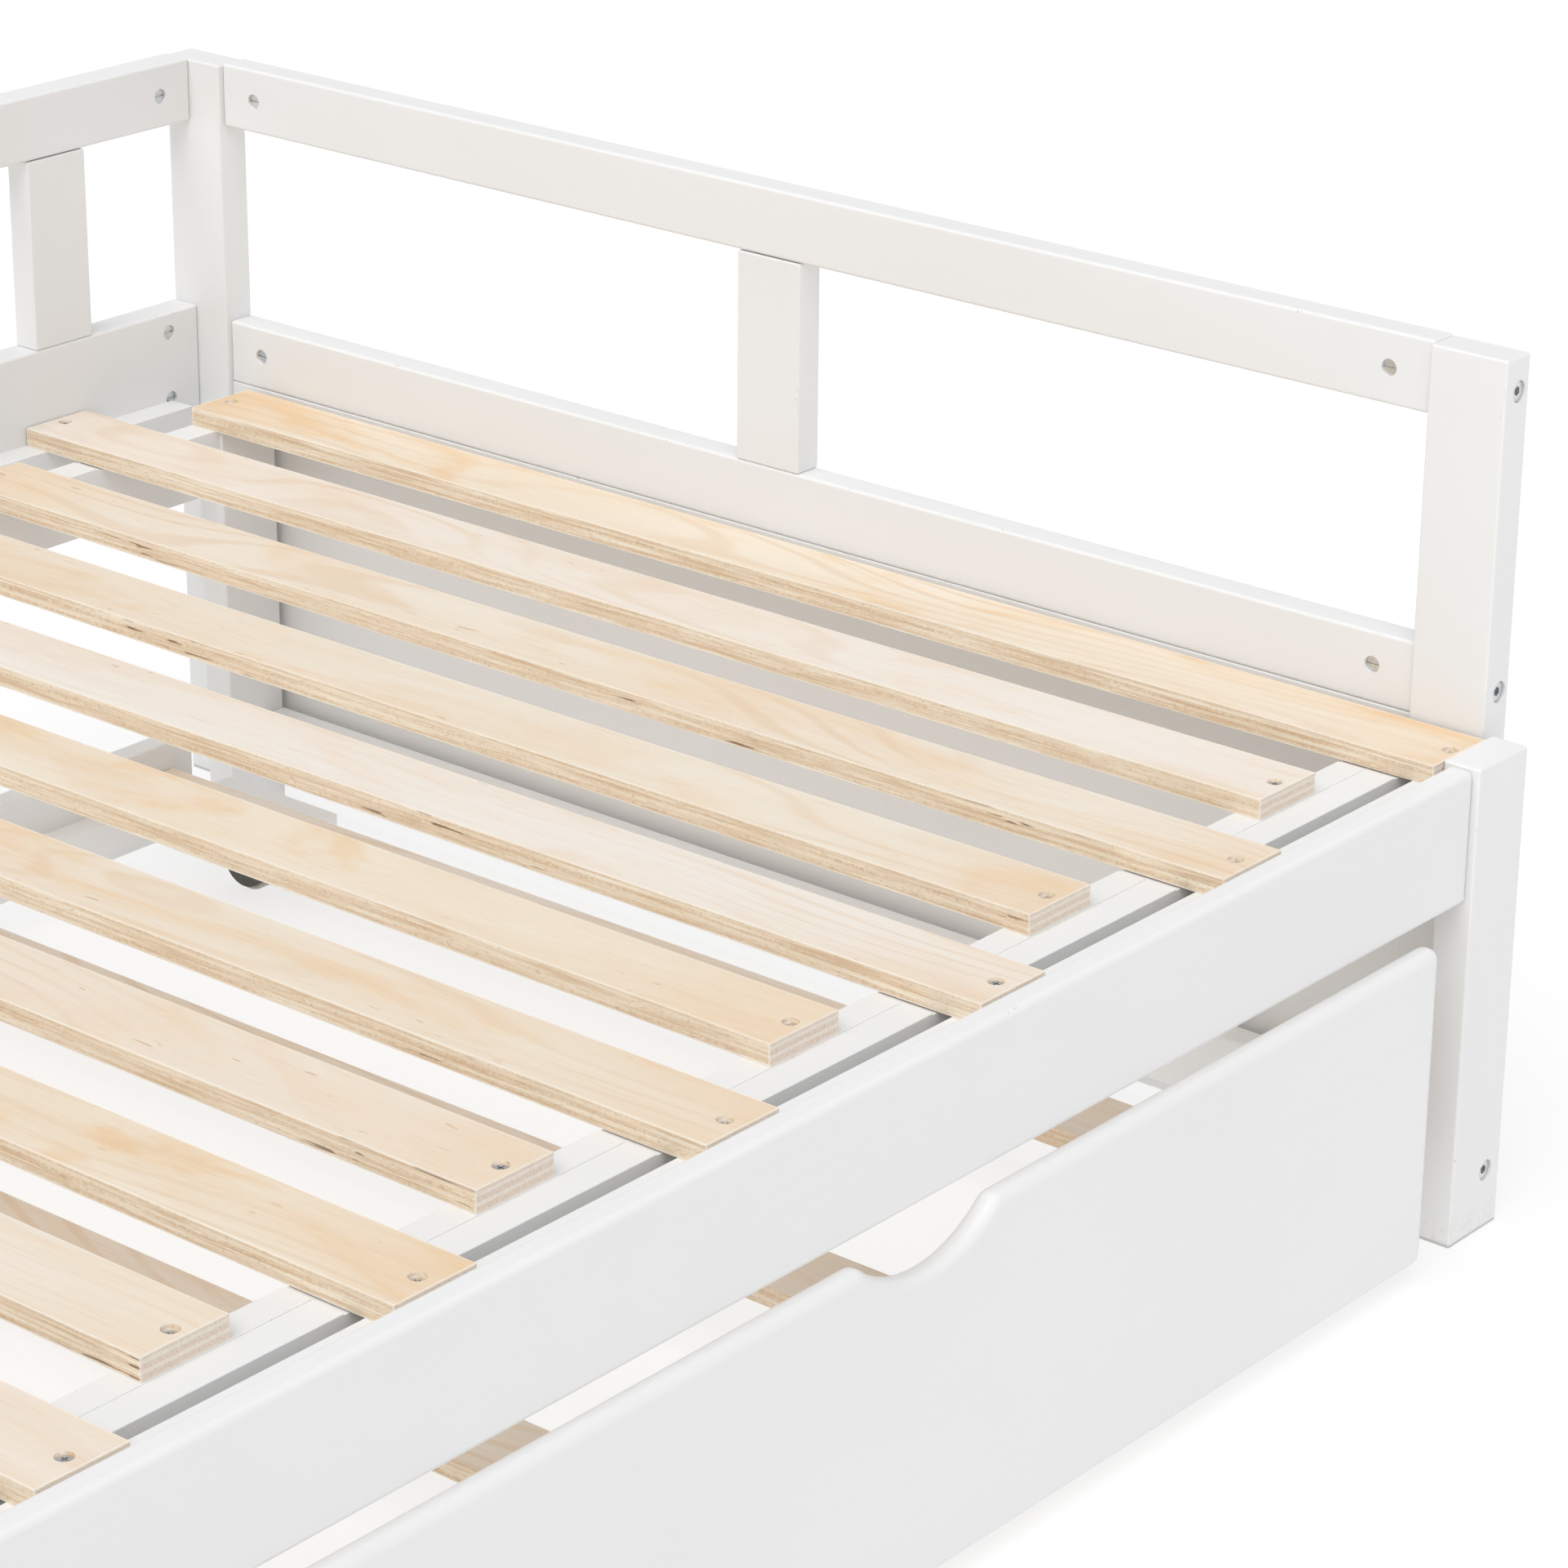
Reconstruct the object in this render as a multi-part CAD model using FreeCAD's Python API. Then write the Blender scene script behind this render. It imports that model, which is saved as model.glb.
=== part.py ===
import FreeCAD, Part
import math
import os

os.makedirs("parts", exist_ok=True)

V = FreeCAD.Vector

# ---------------------------------------------------------------- driving dimensions (mm)
CLEAR_W = 1940.0          # clear width between the two arms
HALF_W = CLEAR_W / 2.0
DEPTH = 1060.0            # depth of the fixed frame, post to post
POST_T = 24.0             # post thickness across the bed
POST_W = 50.0             # post width front to back
POST_H = 518.0            # post height
RAIL_T = 20.0             # arm rail thickness
RAIL_H = 43.0             # arm rail height
ARM_TOP_Z = 476.0         # underside of the arm top rail
ARM_MID_Z = 297.0         # underside of the arm middle rail
ARM_SET = 4.0             # arm rails and panel stand back this far from the post's inner face
UPRIGHT_W = 50.0          # baluster width
BACK_T = 22.0             # back rail thickness
BACK_LOW_Z0 = 272.0
BACK_LOW_Z1 = 347.0
PANEL_Z0 = 8.0            # side panel below the arm
PANEL_Z1 = 297.0          # meets the underside of the arm middle rail

SLAT_W = 53.0
SLAT_T = 12.5
SLAT_EASE = 0.3           # plywood edges are nearly sharp
SLAT_Z = 284.5            # underside of every deck slat
SLAT_PITCH = 104.5        # fixed and sliding slats alternate at this pitch
SLAT_COUNT = 19
SLAT_EDGE = 3.0           # gap between the outermost slat and the arm posts
NOTCH_D = 1.0             # depth of the notch where a slat runs over the other frame's rail
NOTCH_SIDE = 3.0          # clearance each side of that slat

SHORT_POST_H = 298.0      # front posts of the pull-out frame
PULL_Y0 = -28.0
PULL_Y1 = -4.0
REAR_LEG_Y0 = 964.0
REAR_LEG_Y1 = 988.0
FRONT_RAIL_Z0 = 217.0
FRONT_RAIL_Z1 = 297.0

TRUNDLE_EDGE = 91.0       # trundle panel end to the arm posts' inner face
TRUNDLE_Y0 = -37.4
TRUNDLE_Y1 = -23.4
TRUNDLE_Z0 = 12.0
TRUNDLE_Z1 = 208.0
TRUNDLE_RIM_R = 6.0       # round-over along the panel's edges, front and back
SCOOP_W = 106.0           # finger scoop in the panel's top edge
SCOOP_D = 21.0
SCOOP_X = 423.0           # scoop centre to the bed's middle
TRUNDLE_DECK_Z = 58.0     # underside of the trundle slats
TRUNDLE_SLAT_X = (103.0, 310.0, 555.0, 812.0)   # slat middles, either side of the bed's middle

WHEEL_R = 21.0
WHEEL_W = 14.0
CHEEK_R = 18.0            # round side plates of a castor
AXLE_R = 3.0
AXLE_GAP = 0.05           # running clearance in the wheel's bore

# The footprint's middle lies this far behind the arm posts' front faces.
Y_MID = (DEPTH + TRUNDLE_Y0) / 2.0

SIDES = (("right", 1), ("left", -1))


# ---------------------------------------------------------------- helpers
def at(x, y, z):
    """A point: x from the bed's middle, y from the arm posts' front faces."""
    return V(x, y - Y_MID, z)


def side_x(side, a, b):
    """X range of a piece lying a..b outward of the right arm's inner face, on either side."""
    lo = HALF_W + min(a, b)
    hi = HALF_W + max(a, b)
    if side > 0:
        return lo, hi
    return -hi, -lo


def box(x, y, z, ease=0.0):
    """A board between the given (low, high) pairs, its edges eased by a small radius."""
    solid = Part.makeBox(x[1] - x[0], y[1] - y[0], z[1] - z[0], at(x[0], y[0], z[0]))
    if ease > 0.0:
        solid = solid.makeFillet(ease, solid.Edges)
    return solid


def rod(point, direction, radius, length):
    return Part.makeCylinder(radius, length, point, direction)


def drilled(solid, tools):
    if not tools:
        return solid
    return solid.cut(Part.makeCompound(tools))


def group(solids):
    return Part.makeCompound(solids)


def save(node, shape):
    shape.exportStep("parts/" + node + ".step")


# ---------------------------------------------------------------- fasteners
HEAD_R = 6.0
HEAD_T = 5.0
HEAD_SINK = 1.5
SHANK_R = 3.0
SHANK_HOLE_R = 3.3
NUT_R = 5.0
NUT_HOLE_R = 5.05
NUT_LEN = 12.0
NUT_SINK = 1.8
SCREW_HEAD_R = 3.8
SCREW_SINK = 2.6          # most screw heads sit this far below the slat's top
SCREW_HIGH_SINK = 1.2     # heads on every third slat sit nearer the top
SINK_R = 4.7
SCREW_R = 1.9
SCREW_HOLE_R = 2.0
SCREW_LEN = 25.0


def socket_bolt(face, into, length):
    """Cap bolt sunk in a counterbore; face is the point on the wood, into points inwards."""
    head = rod(face + into * HEAD_SINK, into, HEAD_R, HEAD_T)
    shank = rod(face + into * (HEAD_SINK + HEAD_T), into, SHANK_R, length)
    solid = head.fuse(shank)
    across = 5.0
    corner = across / math.sqrt(3.0)
    side = V(0, 0, 1)
    other = into.cross(side)
    points = []
    for i in range(7):
        turn = math.radians(60.0 * i)
        points.append(face + side * (corner * math.cos(turn)) + other * (corner * math.sin(turn)))
    hexagon = Part.Face(Part.makePolygon(points))
    socket = hexagon.extrude(into * (HEAD_SINK + 3.2))
    return solid.cut(socket)


def bolt_holes(face, into, length):
    """Counterbore and clearance bore for socket_bolt."""
    mouth = rod(face - into * 1.0, into, HEAD_R + 0.5, HEAD_SINK + HEAD_T + 1.0)
    bore = rod(face, into, SHANK_HOLE_R, HEAD_SINK + HEAD_T + length + 1.0)
    return [mouth, bore]


def barrel_nut(face, into, axis):
    """Cross dowel nut in a rail; into points into the wood, axis is the bolt's direction."""
    solid = rod(face + into * NUT_SINK, into, NUT_R, NUT_LEN)
    middle = face + into * 10.0
    solid = solid.cut(rod(middle - axis * 8.0, axis, SHANK_R + 0.05, 16.0))
    width = axis.cross(into)
    corner = face + into * NUT_SINK - width * 0.6 - axis * 6.0
    slot = Part.makeBox(1.2, 12.0, 1.0)
    slot.Placement = FreeCAD.Placement(
        FreeCAD.Matrix(
            width.x, axis.x, into.x, corner.x,
            width.y, axis.y, into.y, corner.y,
            width.z, axis.z, into.z, corner.z,
            0, 0, 0, 1,
        )
    )
    return solid.cut(slot)


def nut_hole(face, into):
    return rod(face - into * 1.0, into, NUT_HOLE_R, NUT_SINK + NUT_LEN + 1.3)


def head_depth(x):
    """Depth of the screw heads of the slat at x."""
    k = 1 + round((slat_middle(1) - x) / SLAT_PITCH)
    if k % 3 == 2:
        return SCREW_HIGH_SINK
    return SCREW_SINK


def slat_screw(x, y):
    """Countersunk screw driven down through a slat into the ledger below it."""
    top = SLAT_Z + SLAT_T - head_depth(x)
    head = Part.makeCone(SCREW_R, SCREW_HEAD_R, 2.6, at(x, y, top - 2.6))
    shank = rod(at(x, y, top - SCREW_LEN), V(0, 0, 1), SCREW_R, SCREW_LEN - 2.6)
    solid = head.fuse(shank)
    bar = 4.2
    cross_a = Part.makeBox(bar, 0.9, 1.4, at(x - bar / 2.0, y - 0.45, top - 1.2))
    cross_b = Part.makeBox(0.9, bar, 1.4, at(x - 0.45, y - bar / 2.0, top - 1.2))
    return solid.cut(group([cross_a.fuse(cross_b)]))


def slat_screw_hole(x, y):
    """Countersink and bore through slat and ledger."""
    depth = head_depth(x)
    seat = SLAT_Z + SLAT_T - depth
    sink = Part.makeCone(SCREW_HOLE_R, SCREW_HEAD_R + 0.3, 2.9, at(x, y, seat - 2.9))
    mouth = Part.makeCone(SCREW_HEAD_R + 0.3, SINK_R, depth + 0.5, at(x, y, seat - 0.01))
    bore = rod(at(x, y, seat - SCREW_LEN - 1.0), V(0, 0, 1), SCREW_HOLE_R, SCREW_LEN)
    return sink.fuse(mouth).fuse(bore)


# ---------------------------------------------------------------- slat layout
def slat_x(k):
    """X range of deck slat k, counted from the right."""
    hi = HALF_W - SLAT_EDGE - (k - 1) * SLAT_PITCH
    return hi - SLAT_W, hi


def slat_middle(k):
    lo, hi = slat_x(k)
    return (lo + hi) / 2.0


FIXED = [k for k in range(1, SLAT_COUNT + 1) if k % 2 == 0]
SLIDING = [k for k in range(1, SLAT_COUNT + 1) if k % 2 == 1]
FIXED_Y = (41.0, 1037.0)
SLIDING_Y = (-8.0, 988.0)
FIXED_SCREWS = (50.0, 1028.0)
SLIDING_SCREWS = (3.0, 977.0)


def notches(slats, y):
    """Shallow notches in a rail's top where the other frame's slats run over it."""
    cuts = []
    for k in slats:
        lo, hi = slat_x(k)
        x = (lo - NOTCH_SIDE, hi + NOTCH_SIDE)
        cuts.append(box(x, (y[0] - 1.0, y[1] + 1.0), (SLAT_Z - NOTCH_D, SLAT_Z + 1.0)))
    return cuts


def make_slats(name, slats, y, screws):
    for number, k in enumerate(slats, 1):
        front = y[0]
        if k in (1, SLAT_COUNT):
            front = max(front, PULL_Y1 + 0.5)
        board = box(slat_x(k), (front, y[1]), (SLAT_Z, SLAT_Z + SLAT_T), SLAT_EASE)
        holes = [slat_screw_hole(slat_middle(k), screw_y) for screw_y in screws]
        save(name + "_" + str(number), drilled(board, holes))


# ---------------------------------------------------------------- fixed frame
ARM_BOLT_X = 14.0                     # arm bolts run through the middle of the rails
ARM_BOLT_Z = (ARM_MID_Z + 23.0, ARM_TOP_Z + 21.5)
ARM_NUT_IN = 29.0                     # barrel nut to post
BACK_BOLT_Z = (286.0, 333.0, 497.5)
BACK_NUT_IN = 27.0
HANGER_IN_POST = 8.0


def arm_joints(side):
    """Bolts and nuts of one arm as (bolt face, direction, nut face, nut direction)."""
    x = side * (HALF_W + ARM_BOLT_X)
    nut_x = side * (HALF_W + ARM_SET)
    out = V(side, 0, 0)
    joints = []
    for z in ARM_BOLT_Z:
        joints.append((at(x, 0, z), V(0, 1, 0), at(nut_x, POST_W + ARM_NUT_IN, z), out))
        far = DEPTH - POST_W - ARM_NUT_IN
        joints.append((at(x, DEPTH, z), V(0, -1, 0), at(nut_x, far, z), out))
    return joints


ARM_BOLT_LEN = POST_W + ARM_NUT_IN - HEAD_SINK - HEAD_T + 6.0


def back_joints(side):
    """Hanger bolts between a back post and the back rails."""
    joints = []
    y = DEPTH - BACK_T / 2.0
    for z in BACK_BOLT_Z:
        start = at(side * (HALF_W + HANGER_IN_POST), y, z)
        nut = at(side * (HALF_W - BACK_NUT_IN), DEPTH - BACK_T, z)
        joints.append((start, V(-side, 0, 0), nut))
    return joints


HANGER_LEN = HANGER_IN_POST + BACK_NUT_IN + 6.0


def frame_tools():
    """Every hole drilled in the fixed frame's rails and posts."""
    tools = []
    for name, side in SIDES:
        for face, into, nut, out in arm_joints(side):
            tools.extend(bolt_holes(face, into, ARM_BOLT_LEN))
            tools.append(nut_hole(nut, out))
        for start, into, nut in back_joints(side):
            tools.append(rod(start - into * 0.5, into, SHANK_HOLE_R, HANGER_LEN + 1.0))
            tools.append(nut_hole(nut, V(0, 1, 0)))
    return tools


def near(tools, solid):
    """The tools that reach the given solid."""
    return [tool for tool in tools if tool.BoundBox.intersect(solid.BoundBox)]


def make_posts(tools):
    rows = (("front", 0.0), ("back", DEPTH - POST_W))
    for name, side in SIDES:
        for row, y in rows:
            post = box(side_x(side, 0.0, POST_T), (y, y + POST_W), (0.0, POST_H), 1.5)
            save("arm_" + row + "_post_" + name, drilled(post, near(tools, post)))


def make_arms(tools):
    y = (POST_W, DEPTH - POST_W)
    for name, side in SIDES:
        x = side_x(side, ARM_SET, ARM_SET + RAIL_T)
        top = box(x, y, (ARM_TOP_Z, ARM_TOP_Z + RAIL_H), 2.0)
        save("arm_top_rail_" + name, drilled(top, near(tools, top)))
        middle = box(x, y, (ARM_MID_Z, ARM_MID_Z + RAIL_H), 2.0)
        save("arm_middle_rail_" + name, drilled(middle, near(tools, middle)))
        upright_y = (DEPTH / 2.0 - UPRIGHT_W / 2.0 + 2.0, DEPTH / 2.0 + UPRIGHT_W / 2.0 + 2.0)
        upright = box(x, upright_y, (ARM_MID_Z + RAIL_H, ARM_TOP_Z - 0.6), 1.2)
        save("arm_baluster_" + name, upright)
        panel = box(side_x(side, ARM_SET, ARM_SET + 16.0), y, (PANEL_Z0, PANEL_Z1), 1.0)
        save("side_panel_" + name, panel)


def make_back(tools):
    x = (-HALF_W, HALF_W)
    y = (DEPTH - BACK_T, DEPTH)
    top = box(x, y, (ARM_TOP_Z, ARM_TOP_Z + RAIL_H), 2.0)
    save("back_top_rail", drilled(top, near(tools, top)))
    low = box(x, y, (BACK_LOW_Z0, BACK_LOW_Z1), 2.0)
    save("back_lower_rail", drilled(low, near(tools, low)))
    uprights = []
    end = HALF_W - 122.0
    for i in range(4):
        middle = -end + i * 2.0 * end / 3.0
        span = (middle - UPRIGHT_W / 2.0, middle + UPRIGHT_W / 2.0)
        uprights.append(box(span, (y[0], y[0] + RAIL_T), (BACK_LOW_Z1, ARM_TOP_Z - 0.6), 1.2))
    save("back_balusters", group(uprights))


def make_frame_ledgers():
    screws = []
    for k in FIXED:
        for y in FIXED_SCREWS:
            screws.append(slat_screw_hole(slat_middle(k), y))
    rear = box((-HALF_W + 27.0, HALF_W - 27.0), (1018.0, DEPTH - BACK_T), (262.0, SLAT_Z), 0.0)
    save("rear_ledger", drilled(rear, near(screws, rear)))
    rail = box((-HALF_W, HALF_W), (20.0, 40.0), (224.0, SLAT_Z), 0.6)
    save("cross_rail", drilled(rail, notches(SLIDING, (20.0, 40.0))))
    ledger = box((-HALF_W, HALF_W), (40.0, 58.0), (254.0, SLAT_Z), 0.0)
    cuts = notches(SLIDING, (40.0, 58.0))
    save("cross_ledger", drilled(ledger, cuts + near(screws, ledger)))


def make_frame_fasteners():
    solids = []
    for name, side in SIDES:
        for face, into, nut, out in arm_joints(side):
            solids.append(socket_bolt(face, into, ARM_BOLT_LEN))
            solids.append(barrel_nut(nut, out, into))
        for start, into, nut in back_joints(side):
            solids.append(rod(start, into, SHANK_R, HANGER_LEN))
            solids.append(barrel_nut(nut, V(0, 1, 0), into))
    for k in FIXED:
        for y in FIXED_SCREWS:
            solids.append(slat_screw(slat_middle(k), y))
    save("frame_fasteners", group(solids))


# ---------------------------------------------------------------- pull-out frame
STRETCH_Z0 = 28.0
STRETCH_BOLT_Z = 38.0
STRETCH_BOLT_X = -12.0
STRETCH_NUT_IN = 27.0
STRETCH_BOLT_LEN = (PULL_Y1 - PULL_Y0) + STRETCH_NUT_IN - HEAD_SINK - HEAD_T + 6.0


def stretcher_joints(side):
    x = side * (HALF_W + STRETCH_BOLT_X)
    nut_x = side * (HALF_W - 22.0)
    out = V(side, 0, 0)
    z = STRETCH_BOLT_Z
    front = (at(x, PULL_Y0, z), V(0, 1, 0), at(nut_x, PULL_Y1 + STRETCH_NUT_IN, z), out)
    rear = (at(x, REAR_LEG_Y1, z), V(0, -1, 0), at(nut_x, REAR_LEG_Y0 - STRETCH_NUT_IN, z), out)
    return [front, rear]


def pull_tools():
    tools = []
    for name, side in SIDES:
        for face, into, nut, out in stretcher_joints(side):
            tools.extend(bolt_holes(face, into, STRETCH_BOLT_LEN))
            tools.append(nut_hole(nut, out))
    return tools


def make_pull_sides(tools):
    for name, side in SIDES:
        post = box(side_x(side, -47.0, 3.0), (PULL_Y0, PULL_Y1), (0.0, SHORT_POST_H), 1.5)
        save("pull_front_post_" + name, drilled(post, near(tools, post)))
        leg = box(side_x(side, -52.0, -2.0), (REAR_LEG_Y0, REAR_LEG_Y1), (0.0, SLAT_Z), 1.5)
        holes = [slat_screw_hole(side * slat_middle(1), SLIDING_SCREWS[1])]
        save("pull_rear_leg_" + name, drilled(leg, near(tools + holes, leg)))
        bar = box(side_x(side, -22.0, -2.0), (PULL_Y1, REAR_LEG_Y0), (STRETCH_Z0, STRETCH_Z0 + RAIL_H), 1.5)
        save("pull_stretcher_" + name, drilled(bar, near(tools, bar)))


def make_pull_cross():
    screws = []
    for k in SLIDING:
        for y in SLIDING_SCREWS:
            screws.append(slat_screw_hole(slat_middle(k), y))
    inner = HALF_W - 47.0
    rail = box((-inner, inner), (-24.5, -8.5), (FRONT_RAIL_Z0, FRONT_RAIL_Z1), 4.0)
    save("pull_front_rail", rail)
    wide = box((-HALF_W + 2.0, HALF_W - 2.0), (PULL_Y1, 10.0), (262.0, SLAT_Z))
    deep = box((-inner, inner), (-8.5, 0.0), (262.0, SLAT_Z))
    ledger = wide.fuse(deep).removeSplitter()
    save("pull_front_ledger", drilled(ledger, near(screws, ledger)))
    leg_in = HALF_W - 52.0
    bar = box((-leg_in, leg_in), (966.0, REAR_LEG_Y1), (241.5, SLAT_Z), 0.0)
    cuts = notches(FIXED, (966.0, REAR_LEG_Y1))
    save("pull_rear_bar", drilled(bar, cuts + near(screws, bar)))


def make_pull_fasteners():
    solids = []
    for name, side in SIDES:
        for face, into, nut, out in stretcher_joints(side):
            solids.append(socket_bolt(face, into, STRETCH_BOLT_LEN))
            solids.append(barrel_nut(nut, out, into))
    for k in SLIDING:
        for y in SLIDING_SCREWS:
            solids.append(slat_screw(slat_middle(k), y))
    save("pull_fasteners", group(solids))


# ---------------------------------------------------------------- trundle
def make_trundle_panel():
    half = HALF_W - TRUNDLE_EDGE
    z = (TRUNDLE_Z0, TRUNDLE_Z1)
    # outline in the XZ plane: straight sides, rounded top corners, two scoops
    radius = (SCOOP_W * SCOOP_W / 4.0 + SCOOP_D * SCOOP_D) / (2.0 * SCOOP_D)
    panel = box((-half, half), (TRUNDLE_Y0, TRUNDLE_Y1), z)
    for middle in (-SCOOP_X, SCOOP_X):
        centre = at(middle, TRUNDLE_Y0 - 1.0, TRUNDLE_Z1 - SCOOP_D + radius)
        panel = panel.cut(rod(centre, V(0, 1, 0), radius, 16.0))
    lips = []
    for edge in panel.Edges:
        ends = edge.BoundBox
        upright = ends.XLength < 0.01 and ends.ZLength < 0.01
        if upright and ends.ZMin > TRUNDLE_Z1 - 0.01 and abs(ends.XMin) < half - 1.0:
            lips.append(edge)
    panel = panel.makeFillet(8.0, lips)
    corners = []
    for edge in panel.Edges:
        ends = edge.BoundBox
        if ends.XLength < 0.01 and ends.ZLength < 0.01 and abs(ends.XMin) > half - 1.0:
            corners.append(edge)
    panel = panel.makeFillet(7.0, corners)
    rims = []
    for edge in panel.Edges:
        ends = edge.BoundBox
        if ends.YLength < 0.01:
            rims.append(edge)
    panel = panel.makeFillet(TRUNDLE_RIM_R, rims)
    save("trundle_front_panel", panel)


CASTOR_X = -123.0                     # wheel middle to the arm's inner face
CASTOR_Y = (66.0, 872.0)
CASTOR_PLATE_X = (-155.0, -95.0)
CASTOR_PLATE_Z = (44.5, 47.5)
CHEEK_T = 2.4
CHEEK_GAP = 0.6
REAR_BOARD_Y = (940.0, 956.0)
LEDGER_T = 18.0


def make_trundle_wood():
    half = HALF_W - 112.0
    z = (36.0, TRUNDLE_DECK_Z)
    front = box((-half, half), (TRUNDLE_Y1, TRUNDLE_Y1 + LEDGER_T), z, 0.0)
    rear = box((-half, half), (REAR_BOARD_Y[0] - LEDGER_T, REAR_BOARD_Y[0]), z, 0.0)
    save("trundle_ledgers", group([front, rear]))
    board = box((-half, half), REAR_BOARD_Y, (20.0, 90.0), 2.0)
    save("trundle_rear_board", board)
    blocks = []
    inner_y = (TRUNDLE_Y1 + LEDGER_T, REAR_BOARD_Y[0] - LEDGER_T)
    for name, side in SIDES:
        x = side_x(side, *CASTOR_PLATE_X)
        rows = ((inner_y[0], CASTOR_Y[0] + 52.0), (CASTOR_Y[1] - 52.0, inner_y[1]))
        for y in rows:
            blocks.append(box(x, y, (CASTOR_PLATE_Z[1], TRUNDLE_DECK_Z), 1.0))
    save("castor_blocks", group(blocks))
    slats = []
    for offset in TRUNDLE_SLAT_X:
        for middle in (-offset, offset):
            x = (middle - SLAT_W / 2.0, middle + SLAT_W / 2.0)
            y = (TRUNDLE_Y1 + 1.0, REAR_BOARD_Y[0] - 1.0)
            slats.append(box(x, y, (TRUNDLE_DECK_Z, TRUNDLE_DECK_Z + SLAT_T), SLAT_EASE))
    save("trundle_slats", group(slats))


def castor_places():
    places = []
    for name, side in SIDES:
        for row, y in (("front", CASTOR_Y[0]), ("back", CASTOR_Y[1])):
            places.append((row + "_" + name, side, y))
    return places


def cheek(side, near_x, y):
    """One round side plate of a castor, rising to the top plate."""
    x = side_x(side, near_x, near_x + CHEEK_T)
    disc = rod(at(x[0], y, WHEEL_R), V(1, 0, 0), CHEEK_R, CHEEK_T)
    neck = box(x, (y - CHEEK_R + 1.0, y + CHEEK_R - 1.0), (WHEEL_R, CASTOR_PLATE_Z[0]))
    return disc.fuse(neck)


def make_castors():
    brackets = []
    axles = []
    half = WHEEL_W / 2.0 + CHEEK_GAP
    for name, side, y in castor_places():
        plate_y = (y - 46.0, y + 24.0)
        plate = box(side_x(side, *CASTOR_PLATE_X), plate_y, CASTOR_PLATE_Z)
        corners = [e for e in plate.Edges if e.BoundBox.ZLength > 1.0 and e.BoundBox.XLength < 0.01]
        plate = plate.makeFillet(8.0, corners)
        bracket = plate.fuse(cheek(side, CASTOR_X - half - CHEEK_T, y))
        bracket = bracket.fuse(cheek(side, CASTOR_X + half, y)).removeSplitter()
        middle = at(side * (HALF_W + CASTOR_X), y, WHEEL_R)
        reach = half + CHEEK_T
        out = V(1, 0, 0)
        bracket = bracket.cut(rod(middle - out * (reach + 1.0), out, AXLE_R + 0.02, 2.0 * reach + 2.0))
        brackets.append(bracket)
        pin = rod(middle - out * (reach + 1.6), out, AXLE_R, 2.0 * reach + 3.2)
        for end in (-1, 1):
            cap = rod(middle + out * (end * reach), out * end, AXLE_R + 2.0, 1.8)
            rim = [e for e in cap.Edges if abs(e.BoundBox.Center.x - middle.x) > reach + 1.0
                   and e.BoundBox.XLength < 0.01]
            pin = pin.fuse(cap.makeFillet(0.8, rim))
        axles.append(pin.removeSplitter())
    save("castor_brackets", group(brackets))
    save("castor_axles", group(axles))


def make_wheels():
    for name, side, y in castor_places():
        left = side * (HALF_W + CASTOR_X) - WHEEL_W / 2.0
        bore = AXLE_R + AXLE_GAP
        half = WHEEL_W / 2.0
        profile = [
            (bore, -half + 0.2),
            (7.0, -half + 0.2),
            (7.0, -half + 1.6),
            (16.0, -half + 1.6),
            (16.0, -half + 0.4),
            (WHEEL_R - 1.6, -half),
            (WHEEL_R, -half + 1.6),
            (WHEEL_R, half - 1.6),
            (WHEEL_R - 1.6, half),
            (16.0, half - 0.4),
            (16.0, half - 1.6),
            (7.0, half - 1.6),
            (7.0, half - 0.2),
            (bore, half - 0.2),
            (bore, -half + 0.2),
        ]
        middle = left + half
        points = [at(middle + along, y, WHEEL_R + radius) for radius, along in profile]
        face = Part.Face(Part.makePolygon(points))
        wheel = face.revolve(at(middle, y, WHEEL_R), V(1, 0, 0), 360)
        save("castor_wheel_" + name, wheel)


# ---------------------------------------------------------------- build
tools = frame_tools()
make_posts(tools)
make_arms(tools)
make_back(tools)
make_frame_ledgers()
make_slats("frame_slat", FIXED, FIXED_Y, FIXED_SCREWS)
make_frame_fasteners()

sliding_tools = pull_tools()
make_pull_sides(sliding_tools)
make_pull_cross()
make_slats("pull_slat", SLIDING, SLIDING_Y, SLIDING_SCREWS)
make_pull_fasteners()

make_trundle_panel()
make_trundle_wood()
make_castors()
make_wheels()
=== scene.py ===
import math

import bpy
from mathutils import Matrix, Vector


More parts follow.
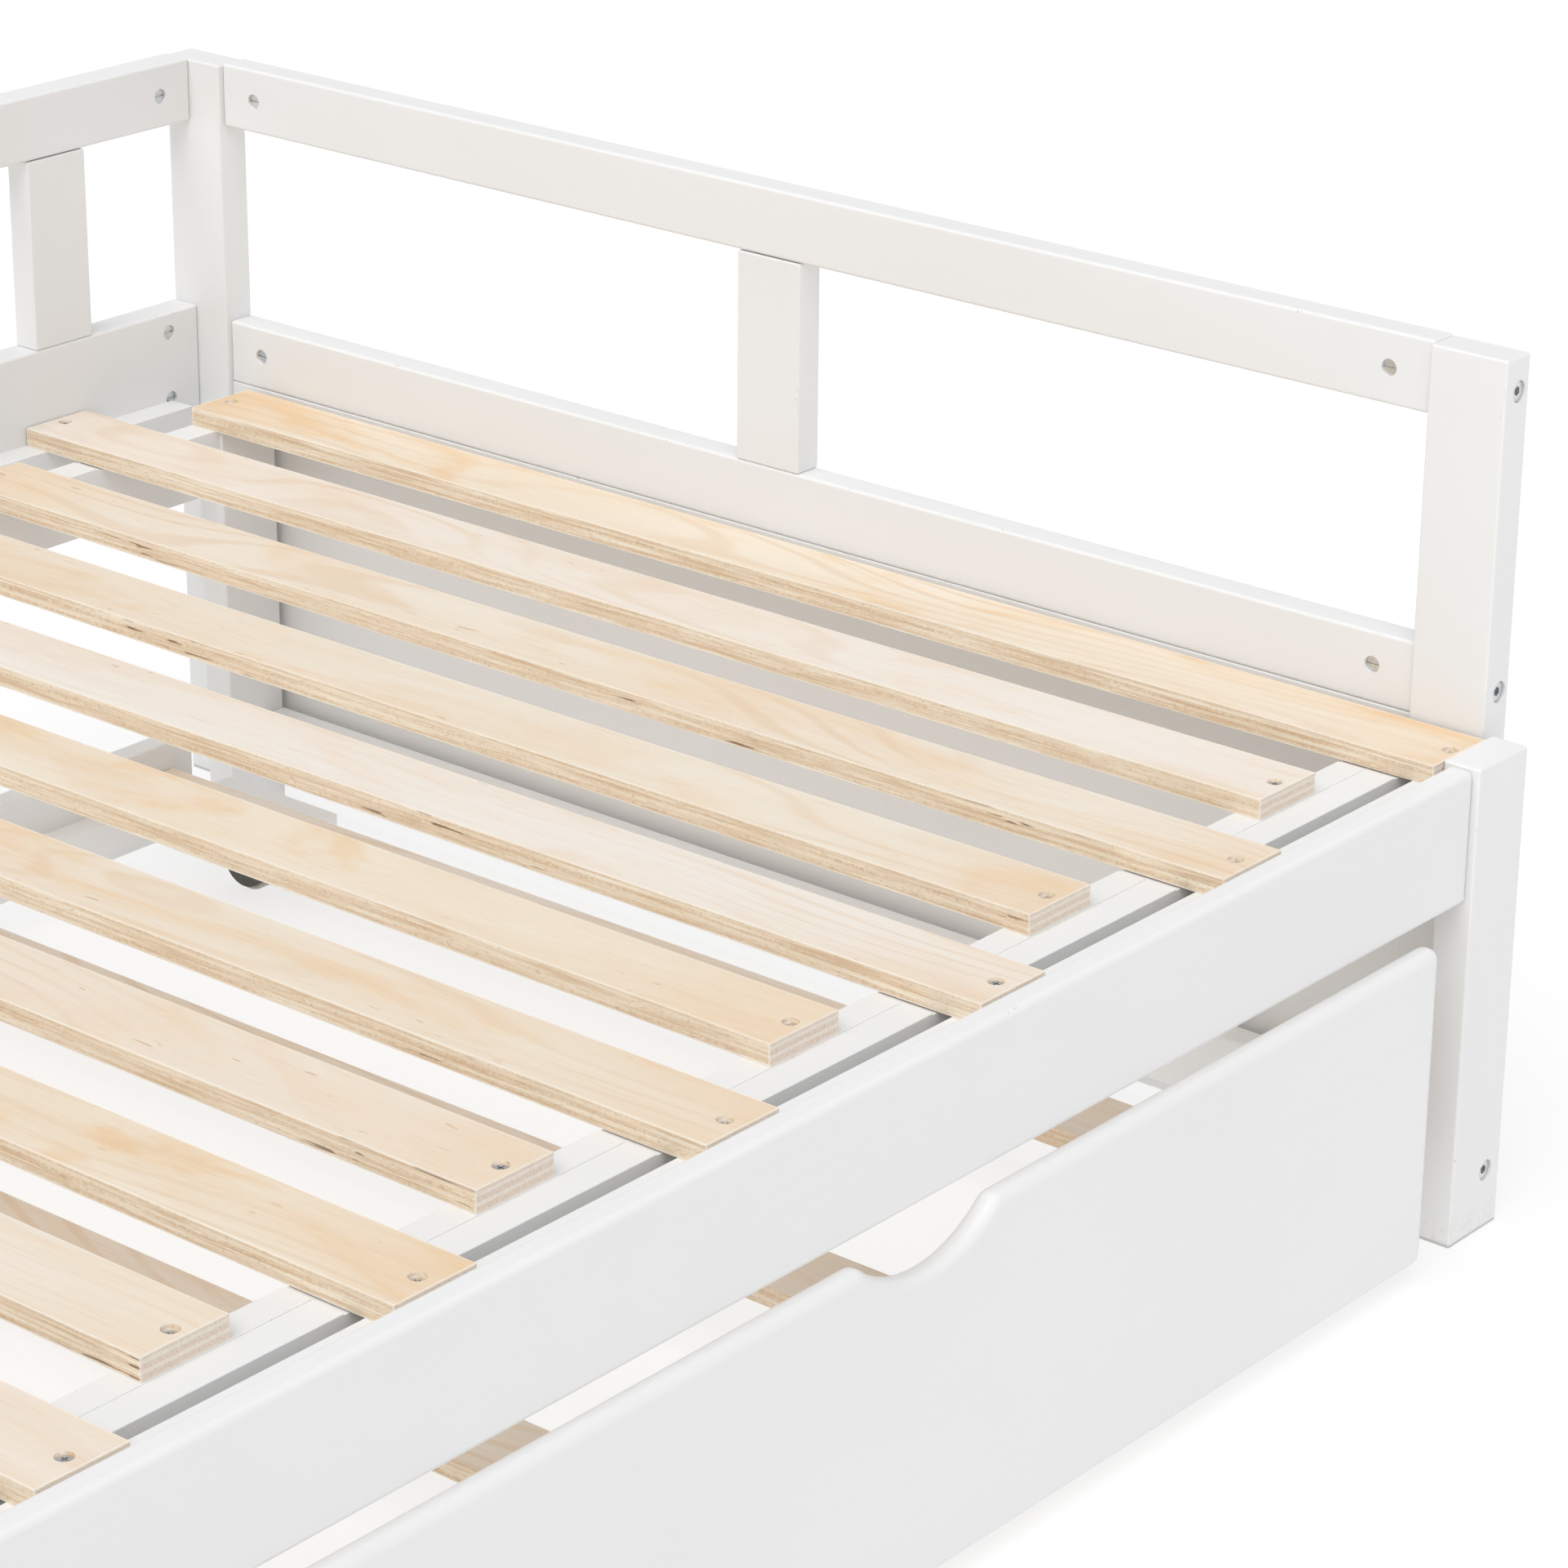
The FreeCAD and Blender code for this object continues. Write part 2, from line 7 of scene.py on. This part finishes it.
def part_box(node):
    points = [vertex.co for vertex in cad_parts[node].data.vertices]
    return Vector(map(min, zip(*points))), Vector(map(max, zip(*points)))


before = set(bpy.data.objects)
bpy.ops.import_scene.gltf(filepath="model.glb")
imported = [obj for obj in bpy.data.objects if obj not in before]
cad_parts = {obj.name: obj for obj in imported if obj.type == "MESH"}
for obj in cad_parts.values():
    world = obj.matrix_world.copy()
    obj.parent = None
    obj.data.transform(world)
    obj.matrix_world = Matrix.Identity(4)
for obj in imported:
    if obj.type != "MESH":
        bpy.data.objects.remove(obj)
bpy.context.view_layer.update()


# ------------------------------------------------------------------ node helpers
class Tree:
    """A material and a short way to write its nodes."""

    def __init__(self, name):
        self.material = bpy.data.materials.new(name)
        self.material.use_nodes = True
        self.tree = self.material.node_tree
        self.tree.nodes.clear()
        output = self.tree.nodes.new("ShaderNodeOutputMaterial")
        self.shader = self.tree.nodes.new("ShaderNodeBsdfPrincipled")
        self.put(output.inputs[0], self.shader.outputs[0])

    def put(self, socket, value):
        """Links value to the socket if it is a node's output, and otherwise sets it there."""
        if hasattr(value, "is_output"):
            self.tree.links.new(value, socket)
        else:
            socket.default_value = value

    def node(self, kind, **settings):
        made = self.tree.nodes.new(kind)
        for key, value in settings.items():
            setattr(made, key, value)
        return made

    def set(self, name, value):
        """Gives one of the shader's inputs its value."""
        self.put(self.shader.inputs[name], value)

    def math(self, operation, a, b=0.0):
        made = self.node("ShaderNodeMath", operation=operation)
        for socket, value in zip(made.inputs, (a, b, 0.0)):
            self.put(socket, value)
        return made.outputs[0]

    def plus(self, a, b):
        return self.math("ADD", a, b)

    def minus(self, a, b):
        return self.math("SUBTRACT", a, b)

    def times(self, a, b):
        return self.math("MULTIPLY", a, b)

    def smaller(self, a, b):
        return self.math("MINIMUM", a, b)

    def larger(self, a, b):
        return self.math("MAXIMUM", a, b)

    def size_of(self, a):
        return self.math("ABSOLUTE", a)

    def ramp(self, value, low, high, to_low=0.0, to_high=1.0):
        """Smooth step of value from low..high to to_low..to_high."""
        made = self.node("ShaderNodeMapRange", interpolation_type="SMOOTHSTEP", clamp=True)
        for socket, item in zip(made.inputs, (value, low, high, to_low, to_high)):
            self.put(socket, item)
        return made.outputs[0]

    def mix(self, factor, a, b):
        made = self.node("ShaderNodeMix", data_type="RGBA", blend_type="MIX")
        self.put(made.inputs[0], factor)
        for socket, value in ((made.inputs[6], a), (made.inputs[7], b)):
            self.put(socket, value if hasattr(value, "is_output") else (*value, 1.0))
        return made.outputs[2]

    def stretch(self, vector, scale=(1.0, 1.0, 1.0), shift=(0.0, 0.0, 0.0)):
        made = self.node("ShaderNodeMapping")
        self.put(made.inputs[0], vector)
        made.inputs[1].default_value = shift
        made.inputs[3].default_value = scale
        return made.outputs[0]

    def noise(self, vector, scale, detail, rough, distortion=0.0):
        """Noise of about scale features to the metre."""
        made = self.node("ShaderNodeTexNoise")
        self.put(made.inputs["Vector"], vector)
        self.put(made.inputs["Scale"], scale)
        self.put(made.inputs["Detail"], detail)
        self.put(made.inputs["Roughness"], rough)
        self.put(made.inputs["Distortion"], distortion)
        return made.outputs[0]

    def uneven(self, vector, scales, detail, rough, distortion=0.0):
        """Noise with its own number of features to the metre on each axis."""
        return self.noise(self.stretch(vector, scales), 1.0, detail, rough, distortion)

    def strands(self, vector, across, along, detail, rough, distortion=0.0):
        """Noise drawn out along Y, the way the slats lie."""
        return self.uneven(vector, (across, along, across), detail, rough, distortion)

    def cells(self, vector, scale):
        """Distance to the nearest of scattered points, about scale of them to the metre."""
        made = self.node("ShaderNodeTexVoronoi", feature="F1")
        self.put(made.inputs["Vector"], vector)
        self.put(made.inputs["Scale"], scale)
        return made.outputs["Distance"]

    def axes(self, vector):
        made = self.node("ShaderNodeSeparateXYZ")
        self.put(made.inputs[0], vector)
        return made.outputs[0], made.outputs[1], made.outputs[2]

    def bump(self, height, strength, distance):
        """Relief on the shader's normal; distance is its depth in metres."""
        made = self.node("ShaderNodeBump")
        self.put(made.inputs["Strength"], strength)
        self.put(made.inputs["Distance"], distance)
        self.put(made.inputs["Height"], height)
        self.set("Normal", made.outputs[0])


def edge_distance(t, place, lo, hi):
    """Distance along the surface of a board from its nearest edge, in metres."""
    near = []
    for value, low, high in zip(t.axes(place), lo, hi):
        near.append(t.smaller(t.minus(value, low), t.minus(high, value)))
    a, b, c = near
    return t.larger(t.smaller(a, b), t.smaller(t.larger(a, b), c))


# ------------------------------------------------------------------ white paint
PAINT = (0.834, 0.836, 0.838)
PAINT_CLOUD = (0.822, 0.823, 0.821)
PAINT_WARM = (0.80, 0.79, 0.77)
PAINT_RUBBED = (0.70, 0.66, 0.58)
PAINT_CHIPPED = (0.50, 0.43, 0.33)
DUST_SPECK = (0.55, 0.53, 0.50)
FOOT_BASE_DARK = (0.42, 0.41, 0.40)
FOOT_SCUFF = (0.62, 0.60, 0.57)

PAINT_GRAIN_ACROSS = 260.0      # grain features to the metre, across the board and along it
PAINT_GRAIN_ALONG = 9.0
PAINT_RELIEF = 0.00016          # metres, as all widths and reliefs here
RUBBED_FULL = 0.0004            # an edge is fully rubbed up to here
RUBBED_GONE = 0.0016
CHIPS_FULL = 0.001              # chips keep to a strip beside the edge
CHIPS_GONE = 0.003
FOOT_DARK_FULL = 0.0012              # height of the darker band at the bottom of a foot
FOOT_DARK_GONE = 0.0035
SCUFF_GONE = 0.03


def painted_wood(name, lo, hi, seed, foot):
    """Sprayed white satin paint over a planed board: faint grain, dust specks, rubbed edges."""
    t = Tree("paint_" + name)
    place = t.node("ShaderNodeTexCoord").outputs["Object"]
    shift = (seed * 1.37, seed * 2.11, seed * 0.73)
    moved = t.stretch(place, shift=shift)
    size = [high - low for low, high in zip(lo, hi)]
    grain_scale = [PAINT_GRAIN_ACROSS] * 3
    grain_scale[size.index(max(size))] = PAINT_GRAIN_ALONG
    grain = t.noise(t.stretch(place, grain_scale, shift), 1.0, 4.0, 0.62, 0.4)
    orange_peel = t.noise(moved, 420.0, 2.0, 0.5)
    cloud = t.noise(moved, 5.5, 3.0, 0.5)
    edge = edge_distance(t, place, lo, hi)

    colour = t.mix(t.ramp(cloud, 0.35, 0.65), PAINT, PAINT_CLOUD)
    colour = t.mix(t.ramp(grain, 0.56, 0.72, 0.0, 0.10), colour, PAINT_WARM)
    # the paint thins where an edge is rubbed
    rubbed = t.ramp(edge, RUBBED_FULL, RUBBED_GONE, 1.0, 0.0)
    thin = t.times(rubbed, t.ramp(t.noise(moved, 95.0, 4.0, 0.6), 0.56, 0.70))
    colour = t.mix(t.times(thin, 0.35), colour, PAINT_RUBBED)
    # small chips beside the edges, in a few places only
    chip_noise = t.noise(moved, 210.0, 3.0, 0.7)
    chip_zone = t.ramp(t.noise(moved, 14.0, 1.0, 0.5), 0.60, 0.66)
    chip = t.times(t.ramp(chip_noise, 0.655, 0.675), chip_zone)
    chip = t.times(chip, t.ramp(edge, CHIPS_FULL, CHIPS_GONE, 1.0, 0.0))
    colour = t.mix(t.times(chip, 0.75), colour, PAINT_CHIPPED)
    # dust that settled in the wet paint
    speck = t.ramp(t.cells(moved, 38.0), 0.028, 0.012)
    colour = t.mix(t.times(speck, 0.22), colour, DUST_SPECK)
    if foot:
        height = t.axes(place)[2]
        # a foot is made darker towards its bottom edge
        colour = t.mix(t.ramp(height, FOOT_DARK_FULL, FOOT_DARK_GONE, 0.8, 0.0), colour, FOOT_BASE_DARK)
        scuff = t.times(t.ramp(height, 0.0, SCUFF_GONE, 0.4, 0.0), t.ramp(chip_noise, 0.45, 0.7))
        colour = t.mix(scuff, colour, FOOT_SCUFF)
    t.set("Base Color", colour)
    t.set("Roughness", t.plus(t.ramp(grain, 0.3, 0.75, 0.36, 0.46), t.times(thin, 0.2)))
    t.set("Specular IOR Level", 0.42)
    relief = t.plus(t.times(grain, 0.55), t.times(orange_peel, 0.45))
    t.bump(t.minus(relief, t.times(chip, 1.2)), 0.22, PAINT_RELIEF)
    return t.material


# ------------------------------------------------------------------ bare plywood
VENEER_LIGHT = (0.830, 0.762, 0.668)
VENEER_MID = (0.800, 0.690, 0.560)
VENEER_AMBER = (0.790, 0.545, 0.305)
VENEER_TOASTED = (0.800, 0.560, 0.330)
VENEER_LINE = (0.72, 0.52, 0.335)
VENEER_FIBRE = (0.72, 0.50, 0.30)
VENEER_PORE = (0.52, 0.33, 0.18)
VENEER_DASH = (0.560, 0.290, 0.120)
KNOT_RING = (0.62, 0.36, 0.17)
KNOT_EYE = (0.25, 0.13, 0.06)

EDGE_LONG_PLY = ((0.880, 0.775, 0.620), (0.760, 0.610, 0.440))
EDGE_CROSS_PLY = ((0.840, 0.705, 0.530), (0.680, 0.510, 0.340))
EDGE_GLUE = (0.45, 0.29, 0.16)
EDGE_DARK_STREAK = (0.615, 0.400, 0.232)
EDGE_PALE_STREAK = (0.940, 0.865, 0.745)
EDGE_NIB = (0.570, 0.380, 0.215)
# painted shade inside the splits of the cross plies
EDGE_SPLIT_SHADE = (0.170, 0.080, 0.036)
SAWN_LIGHT = ((0.940, 0.875, 0.795), (0.880, 0.780, 0.680))
SAWN_DARK = ((0.890, 0.790, 0.690), (0.750, 0.605, 0.490))
SAWN_GLUE = (0.58, 0.38, 0.27)
# painted highlight colour for the slats' eased edges
ARRIS_HIGHLIGHT = (0.930, 0.875, 0.785)

TOASTED_GONE = 0.13             # the warm tint of a slat's tips ends here
# the painted edge highlight is full up to the first width and gone at the second
ARRIS_HIGHLIGHT_FULL = 0.0004
ARRIS_HIGHLIGHT_GONE = 0.0013
PLY_RELIEF = 0.00022
MM_PER_M = 1000.0
PLY_PAIR = 4.9                  # a long ply and a cross ply together, mm
PLY_START = 0.15                # mm
PLY_WANDER = 1.5                # mm


def veneer(t, place, moved, lo, hi, tint, warm):
    """Rotary-cut face: long wandering lines with wide loops, pores, pin knots."""
    warp = t.strands(moved, 6.0, 1.3, 2.0, 0.5)
    knots = t.cells(t.stretch(moved, (5.0, 2.3, 0.5)), 1.0)
    swirl = t.math("DIVIDE", 0.09, t.plus(knots, 0.08))
    ring = t.plus(t.times(t.axes(moved)[0], 15.0), t.times(warp, 5.2))
    ring = t.plus(ring, swirl)
    line = t.ramp(t.math("SINE", t.times(ring, 22.0)), 0.35, 1.0)
    fine = t.strands(moved, 620.0, 14.0, 3.0, 0.65)
    pores = t.strands(moved, 1500.0, 42.0, 2.0, 0.6)
    broad = t.strands(moved, 16.0, 1.6, 3.0, 0.55, 0.6)
    patch = t.ramp(t.strands(moved, 14.0, 4.2, 4.0, 0.6, 1.2), 0.47, 0.70)

    light = [value * factor for value, factor in zip(VENEER_LIGHT, tint)]
    mid = [value * factor for value, factor in zip(VENEER_MID, tint)]
    face = t.mix(t.ramp(broad, 0.30, 0.72), light, mid)
    face = t.mix(t.times(patch, warm), face, VENEER_AMBER)
    along = t.axes(place)[1]
    tips = t.smaller(t.minus(along, lo[1]), t.minus(hi[1], along))
    toasted = t.ramp(tips, 0.0, TOASTED_GONE, 0.34, 0.0)
    toasted = t.times(toasted, t.ramp(broad, 0.35, 0.60, 0.35, 1.0))
    face = t.mix(toasted, face, VENEER_TOASTED)
    soft = t.ramp(t.strands(moved, 9.0, 2.2, 2.0, 0.5), 0.38, 0.66, 0.06, 0.42)
    face = t.mix(t.times(line, soft), face, VENEER_LINE)
    face = t.mix(t.ramp(fine, 0.50, 0.78, 0.0, 0.30), face, VENEER_FIBRE)
    face = t.mix(t.ramp(pores, 0.60, 0.76, 0.0, 0.22), face, VENEER_PORE)
    # pin knots: few, small, brown, with a dark eye
    eye = t.times(t.ramp(knots, 0.020, 0.024, 1.0, 0.0), t.ramp(knots, 0.010, 0.016, 0.15, 0.8))
    face = t.mix(t.ramp(knots, 0.016, 0.060, 0.55, 0.0), face, KNOT_RING)
    face = t.mix(eye, face, KNOT_EYE)
    # short amber-brown dashes where the veneer is darker
    dash = t.ramp(t.strands(moved, 330.0, 48.0, 1.0, 0.5), 0.742, 0.765)
    dash = t.times(dash, t.ramp(broad, 0.50, 0.62))
    face = t.mix(t.times(dash, 0.65), face, VENEER_DASH)
    return face, fine, pores


def plies(t, place, moved, base):
    """Long edges and sawn ends, with plies that wander a little along the board."""
    wander = t.strands(moved, 24.0, 7.0, 3.0, 0.6)
    depth = t.times(t.minus(t.axes(place)[2], base), MM_PER_M)
    depth = t.plus(depth, t.times(wander, PLY_WANDER))
    cycle = t.math("FRACT", t.math("DIVIDE", t.plus(depth, PLY_START), PLY_PAIR))
    cross = t.times(t.ramp(cycle, 0.36, 0.50), t.ramp(cycle, 0.84, 0.98, 1.0, 0.0))
    seams = [t.ramp(t.size_of(t.minus(cycle, at)), 0.0, 0.05, 1.0, 0.0) for at in (0.43, 0.91)]
    glue = t.larger(*seams)
    fibre = t.strands(moved, 700.0, 16.0, 4.0, 0.65)
    stubble = t.uneven(moved, (700.0, 420.0, 360.0), 3.0, 0.7)

    long_ply = t.mix(t.ramp(fibre, 0.30, 0.72), *EDGE_LONG_PLY)
    cross_ply = t.mix(t.ramp(stubble, 0.30, 0.70), *EDGE_CROSS_PLY)
    tone = t.strands(moved, 210.0, 5.0, 3.0, 0.65)
    edge = t.mix(t.times(cross, t.ramp(tone, 0.34, 0.62, 0.10, 1.0)), long_ply, cross_ply)
    edge = t.mix(t.times(glue, t.ramp(tone, 0.40, 0.66, 0.0, 0.30)), edge, EDGE_GLUE)
    streak = t.strands(moved, 430.0, 11.0, 4.0, 0.68)
    edge = t.mix(t.ramp(streak, 0.49, 0.66, 0.0, 0.62), edge, EDGE_DARK_STREAK)
    edge = t.mix(t.ramp(streak, 0.47, 0.35, 0.0, 0.60), edge, EDGE_PALE_STREAK)
    nibs = t.ramp(t.strands(moved, 900.0, 260.0, 2.0, 0.6), 0.57, 0.72, 0.0, 0.50)
    edge = t.mix(nibs, edge, EDGE_NIB)
    # splits in the cross plies, in a few stretches only; their near-black colour is painted shade
    # inside the splits
    split = t.ramp(t.strands(moved, 380.0, 26.0, 2.0, 0.6), 0.60, 0.64)
    gate = t.ramp(t.strands(moved, 3.0, 5.5, 1.0, 0.5), 0.57, 0.65)
    gap = t.times(t.times(split, gate), cross)
    edge = t.mix(t.times(gap, 0.80), edge, EDGE_SPLIT_SHADE)

    # the sawn ends: paler, the plies' roles swapped
    end_light = t.mix(t.ramp(stubble, 0.30, 0.72), *SAWN_LIGHT)
    end_dark = t.mix(t.ramp(fibre, 0.30, 0.75), *SAWN_DARK)
    end = t.mix(cross, end_light, end_dark)
    end = t.mix(t.times(glue, t.ramp(stubble, 0.35, 0.65, 0.10, 0.55)), end, SAWN_GLUE)
    return edge, end, stubble, gap


def plywood(name, lo, hi, seed, tint, warm):
    """Bare sanded plywood: a grained face veneer, plies on the long edges and the ends."""
    t = Tree("ply_" + name)
    coords = t.node("ShaderNodeTexCoord")
    place = coords.outputs["Object"]
    facing = t.axes(coords.outputs["Normal"])
    shift = (seed * 3.17 % 7.0, seed * 1.93 % 11.0, seed * 0.37)
    moved = t.stretch(place, shift=shift)
    face, fine, pores = veneer(t, place, moved, lo, hi, tint, warm)
    edge, end, stubble, gap = plies(t, place, moved, lo[2])

    side = t.ramp(t.size_of(facing[0]), 0.55, 0.75)
    tip = t.ramp(t.size_of(facing[1]), 0.55, 0.75)
    colour = t.mix(tip, t.mix(side, face, edge), end)
    # painted highlight: the arris is made paler than either face, standing in for light catching the
    # eased edge
    arris_highlight = t.ramp(edge_distance(t, place, lo, hi), ARRIS_HIGHLIGHT_FULL, ARRIS_HIGHLIGHT_GONE, 0.55, 0.0)
    t.set("Base Color", t.mix(arris_highlight, colour, ARRIS_HIGHLIGHT))
    t.set("Roughness", t.ramp(fine, 0.3, 0.8, 0.52, 0.70))
    t.set("Specular IOR Level", 0.30)
    relief = t.plus(t.times(fine, 0.6), t.times(pores, -0.35))
    relief = t.plus(relief, t.times(t.larger(side, tip), t.times(stubble, 1.4)))
    relief = t.minus(relief, t.times(t.times(gap, side), 3.0))
    t.bump(relief, 0.45, PLY_RELIEF)
    return t.material


# ------------------------------------------------------------------ metal and plastic
ZINC_YELLOW = (0.74, 0.735, 0.71)
ZINC_BLUE = (0.62, 0.645, 0.67)
ZINC_SCRATCH = (0.42, 0.40, 0.37)
ZINC_RELIEF = 0.00008
COAT = (0.062, 0.060, 0.050)
COAT_DUSTY = (0.125, 0.120, 0.105)
COAT_RELIEF = 0.00010
DISC = ((0.300, 0.285, 0.265), (0.380, 0.360, 0.335))
TREAD = ((0.430, 0.405, 0.375), (0.320, 0.295, 0.265))
TREAD_RADII = (0.0160, 0.0166)  # the disc ends at the first, the tread starts at the second
WHEEL_RELIEF = 0.00012


def zinc(name):
    """Bright zinc plate: faint blue-yellow bloom and fine scratches."""
    t = Tree(name)
    place = t.node("ShaderNodeTexCoord").outputs["Object"]
    bloom = t.noise(place, 130.0, 3.0, 0.6)
    scratch = t.uneven(place, (900.0, 900.0, 160.0), 3.0, 0.7)
    colour = t.mix(t.ramp(bloom, 0.35, 0.65), ZINC_YELLOW, ZINC_BLUE)
    colour = t.mix(t.ramp(scratch, 0.55, 0.80, 0.0, 0.5), colour, ZINC_SCRATCH)
    t.set("Base Color", colour)
    t.set("Metallic", 1.0)
    t.set("Roughness", t.ramp(scratch, 0.3, 0.8, 0.24, 0.42))
    t.bump(scratch, 0.25, ZINC_RELIEF)
    return t.material


def bracket_paint(name):
    """Dark powder coat on pressed steel."""
    t = Tree(name)
    place = t.node("ShaderNodeTexCoord").outputs["Object"]
    grit = t.noise(place, 1500.0, 2.0, 0.6)
    dust = t.noise(place, 60.0, 4.0, 0.6)
    t.set("Base Color", t.mix(t.ramp(dust, 0.45, 0.75), COAT, COAT_DUSTY))
    t.set("Roughness", t.ramp(grit, 0.3, 0.7, 0.38, 0.58))
    t.bump(grit, 0.35, COAT_RELIEF)
    return t.material


def castor_plastic(name, hub):
    """Grey moulded wheel with a lighter tread; hub is the axle's point."""
    t = Tree(name)
    place = t.node("ShaderNodeTexCoord").outputs["Object"]
    y, z = t.axes(place)[1:]
    across = t.minus(y, hub[1])
    up = t.minus(z, hub[2])
    radius = t.math("SQRT", t.plus(t.times(across, across), t.times(up, up)))
    scuff = t.noise(place, 420.0, 4.0, 0.65)
    disc = t.mix(t.ramp(scuff, 0.40, 0.72), *DISC)
    tread = t.mix(t.ramp(scuff, 0.35, 0.70), *TREAD)
    t.set("Base Color", t.mix(t.ramp(radius, *TREAD_RADII), disc, tread))
    t.set("Roughness", t.ramp(scuff, 0.3, 0.75, 0.42, 0.66))
    t.bump(scuff, 0.30, WHEEL_RELIEF)
    return t.material


# ------------------------------------------------------------------ each node's material
FEET = ("arm_front_post", "arm_back_post", "pull_front_post", "pull_rear_leg")
METALS = {
    "frame_fasteners": zinc("zinc_frame"),
    "pull_fasteners": zinc("zinc_pull"),
    "castor_axles": zinc("zinc_axles"),
    "castor_brackets": bracket_paint("powder_coat"),
}
# red, green and blue factors of a slat's veneer, and how much amber it has
TINTS = (
    (1.00, 0.97, 0.92, 0.85),
    (1.01, 1.02, 1.05, 0.30),
    (1.00, 1.00, 1.00, 0.45),
    (1.01, 1.03, 1.08, 0.25),
    (0.99, 0.98, 0.96, 0.60),
)


def dress(node, material):
    """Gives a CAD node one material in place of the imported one."""
    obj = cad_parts[node]
    obj.data.materials.clear()
    obj.data.materials.append(material)


for number, node in enumerate(sorted(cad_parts)):
    low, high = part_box(node)
    if node in METALS:
        dress(node, METALS[node])
    elif node.startswith("castor_wheel"):
        centre = [(a + b) / 2.0 for a, b in zip(low, high)]
        dress(node, castor_plastic("wheel_" + node, centre))
    elif "slat" in node:
        *tint, warm = TINTS[number % len(TINTS)]
        dress(node, plywood(node, low, high, number + 1.0, tint, warm))
    else:
        dress(node, painted_wood(node, low, high, number + 1.0, node.startswith(FEET)))


# ------------------------------------------------------------------ stage, light, camera
FLOOR_HALF = 30.0               # metres
FLOOR_GREY = ((0.31, 0.31, 0.31), (0.30, 0.30, 0.30))
FLOOR_GLOW = 0.70

SUN_TOWARD = (-0.50, -0.16, 0.85)
SUN_STRENGTH = 1.88
SUN_SPREAD = 55.0               # degrees

SKY_FADE = (0.03, 0.28)         # sines of the heights where the white ends and the soft sky starts
SKY_LIGHT = (1.0, 0.56)         # at the horizon, overhead
WHITE = (1.0, 1.0, 1.0, 1.0)

LENS = 113.56                   # mm
SENSOR = 36.0                   # mm
NEAREST = 0.05                  # metres
FARTHEST = 100.0
EYE = (-1.2875, -1.8658, 1.3154)
HEADING = 0.8799                # radians
DIP = 0.3839
ROLL = 0.0100


def floor():
    """Plain pale floor with some glow of its own, so that it stays paper white."""
    mesh = bpy.data.meshes.new("floor")
    corners = [(FLOOR_HALF * x, FLOOR_HALF * y, 0.0) for x, y in ((-1, -1), (1, -1), (1, 1), (-1, 1))]
    mesh.from_pydata(corners, [], [(0, 1, 2, 3)])
    obj = bpy.data.objects.new("floor", mesh)
    bpy.context.scene.collection.objects.link(obj)
    t = Tree("floor_paper")
    place = t.node("ShaderNodeTexCoord").outputs["Object"]
    cloud = t.noise(place, 1.2, 2.0, 0.5)
    t.set("Base Color", t.mix(t.ramp(cloud, 0.3, 0.7), *FLOOR_GREY))
    t.set("Roughness", 1.0)
    t.set("Specular IOR Level", 0.0)
    t.set("Emission Color", WHITE)
    t.set("Emission Strength", FLOOR_GLOW)
    mesh.materials.append(t.material)


def soft_sun():
    """A very broad directional light, like a large overhead diffuser."""
    data = bpy.data.lights.new("diffuser", "SUN")
    data.energy = SUN_STRENGTH
    data.angle = math.radians(SUN_SPREAD)
    obj = bpy.data.objects.new("diffuser", data)
    bpy.context.scene.collection.objects.link(obj)
    obj.rotation_mode = "QUATERNION"
    obj.rotation_quaternion = Vector(SUN_TOWARD).to_track_quat("Z", "Y")


def studio():
    """White surround, bright at the horizon so that it meets the floor, softer overhead."""
    world = bpy.data.worlds.new("studio")
    world.use_nodes = True
    nodes = world.node_tree.nodes
    links = world.node_tree.links
    background = nodes["Background"]
    direction = nodes.new("ShaderNodeTexCoord")
    split = nodes.new("ShaderNodeSeparateXYZ")
    fade = nodes.new("ShaderNodeMapRange")
    fade.interpolation_type = "SMOOTHSTEP"
    for socket, value in zip(fade.inputs[1:5], SKY_FADE + SKY_LIGHT):
        socket.default_value = value
    links.new(direction.outputs["Generated"], split.inputs[0])
    links.new(split.outputs[2], fade.inputs[0])
    links.new(fade.outputs[0], background.inputs[1])
    background.inputs[0].default_value = WHITE
    bpy.context.scene.world = world


def camera():
    """The photograph's viewpoint: from the front left, looking down, with no lens shift."""
    data = bpy.data.cameras.new("camera")
    data.lens = LENS
    data.sensor_width = SENSOR
    data.clip_start = NEAREST
    data.clip_end = FARTHEST
    obj = bpy.data.objects.new("camera", data)
    bpy.context.scene.collection.objects.link(obj)
    bpy.context.scene.camera = obj
    look = Vector((
        math.sin(HEADING) * math.cos(DIP),
        math.cos(HEADING) * math.cos(DIP),
        -math.sin(DIP),
    ))
    right = look.cross(Vector((0.0, 0.0, 1.0))).normalized()
    up = right.cross(look)
    turned_right = right * math.cos(ROLL) + up * math.sin(ROLL)
    turned_up = up * math.cos(ROLL) - right * math.sin(ROLL)
    obj.location = EYE
    obj.rotation_mode = "QUATERNION"
    obj.rotation_quaternion = Matrix((turned_right, turned_up, -look)).transposed().to_quaternion()


floor()
soft_sun()
studio()
camera()
bpy.context.scene.view_settings.view_transform = "Standard"
bpy.context.scene.view_settings.look = "None"

bpy.context.view_layer.update()
